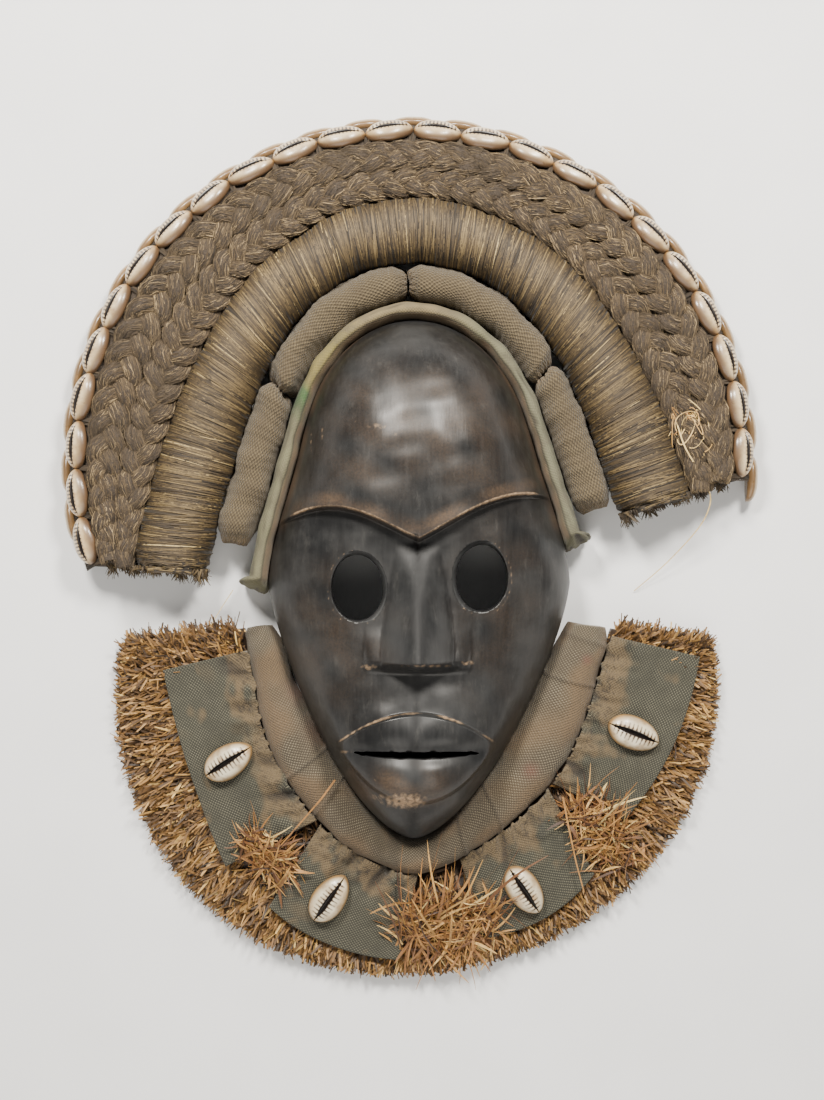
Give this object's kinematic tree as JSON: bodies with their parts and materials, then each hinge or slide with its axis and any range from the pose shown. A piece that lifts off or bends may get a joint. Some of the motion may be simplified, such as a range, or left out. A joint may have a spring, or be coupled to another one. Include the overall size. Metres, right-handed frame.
{
  "type": "dan mask",
  "caption": "West African style wooden face mask with a cowrie-edged fan head-dress and a canvas and raffia collar.",
  "frame": {"origin": "middle of the outline on the back plane, the mask lying face up", "axes": "+Z out of the face, +Y from chin to forehead, +X to the viewer's right of the face"},
  "size_m": [0.3291, 0.407, 0.0793],
  "materials": {
    "face_wood": "oiled, dark, polished by handling",
    "green_cloth": "matt, faded green and yellow",
    "ribbed_cloth": "matt coarse ribs",
    "wound_cord": "matt fibre windings",
    "plaited_fibre": "matt plaited fibre",
    "cowrie": "glossy shell",
    "rim_cowrie": "worn glossy shell",
    "flat_cowrie": "glossy shell, ground back",
    "coarse_cloth": "matt brown coarse weave",
    "grey_canvas": "matt dark canvas",
    "raffia": "dry cut fibre",
    "tuft_raffia": "dry cut fibre"
  },
  "bodies": {
    "root": {"face_mask": "face_wood", "green_binding": "green_cloth", "ribbed_roll_left_lower": "ribbed_cloth", "ribbed_roll_left_upper": "ribbed_cloth", "ribbed_roll_right_upper": "ribbed_cloth", "ribbed_roll_right_lower": "ribbed_cloth", "wrapped_roll": "wound_cord", "braided_fan": "plaited_fibre", "fan_shell_01": "cowrie", "fan_shell_02": "cowrie", "fan_shell_03": "cowrie", "fan_shell_04": "cowrie", "fan_shell_05": "cowrie", "fan_shell_06": "cowrie", "fan_shell_07": "cowrie", "fan_shell_08": "cowrie", "fan_shell_09": "cowrie", "fan_shell_10": "cowrie", "fan_shell_11": "cowrie", "fan_shell_12": "cowrie", "fan_shell_13": "cowrie", "fan_shell_14": "cowrie", "fan_shell_15": "cowrie", "fan_shell_16": "cowrie", "fan_shell_17": "cowrie", "fan_shell_18": "cowrie", "fan_shell_19": "cowrie", "fan_shell_20": "cowrie", "fan_shell_21": "cowrie", "fan_shell_22": "cowrie", "fan_shell_23": "cowrie", "fan_shell_24": "cowrie", "rim_shells_1": "rim_cowrie", "rim_shells_2": "rim_cowrie", "rim_shells_3": "rim_cowrie", "rim_shells_4": "rim_cowrie", "collar_roll": "coarse_cloth", "canvas_panel_1": "grey_canvas", "canvas_panel_2": "grey_canvas", "canvas_panel_3": "grey_canvas", "canvas_panel_4": "grey_canvas", "collar_shell_1": "flat_cowrie", "collar_shell_2": "flat_cowrie", "collar_shell_3": "flat_cowrie", "collar_shell_4": "flat_cowrie", "raffia_fringe": "raffia", "raffia_tuft_1": "tuft_raffia", "raffia_tuft_2": "tuft_raffia", "raffia_tuft_3": "tuft_raffia"}
  },
  "joints": []
}
